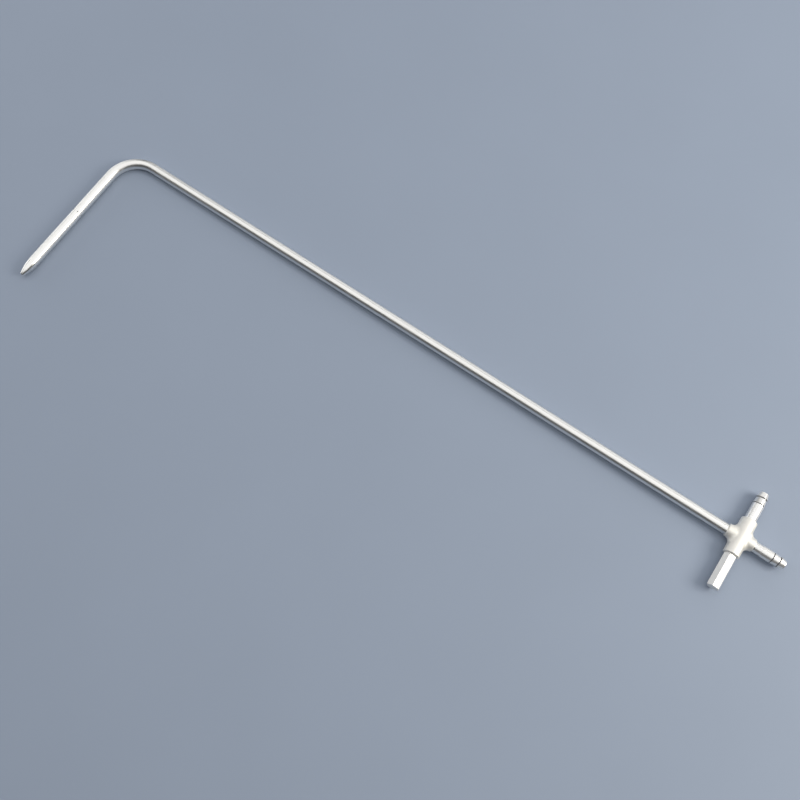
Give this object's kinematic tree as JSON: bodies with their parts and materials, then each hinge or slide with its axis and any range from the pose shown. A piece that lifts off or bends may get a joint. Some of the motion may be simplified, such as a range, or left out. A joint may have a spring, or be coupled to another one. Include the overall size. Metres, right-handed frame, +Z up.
{
  "type": "pitot tube",
  "caption": "L-shaped pitot-static tube in steel: a bent head on a long stem, and a small cross body with barbed hose nipples and a hexagonal direction handle.",
  "frame": {"origin": "middle of the footprint, on the surface that the tube lies on: the cross body's bar touches that surface", "axes": "+X along the stem from the bend to the total nipple, -Y the way the nose and the handle point, +Y the way the static nipple points, +Z up"},
  "size_m": [0.5802, 0.1652, 0.0116],
  "materials": {
    "polished_steel": "polished stainless steel tube",
    "drawn_steel": "as drawn, dull",
    "cast_steel": "blasted casting, satin",
    "turned_steel": "fine turned and milled, bright"
  },
  "bodies": {
    "root": {"nose_cone": "polished_steel", "outer_tube": "polished_steel", "inner_tube": "drawn_steel", "cross_body": "cast_steel", "direction_handle": "turned_steel", "static_nipple": "turned_steel", "total_nipple": "turned_steel"}
  },
  "joints": []
}
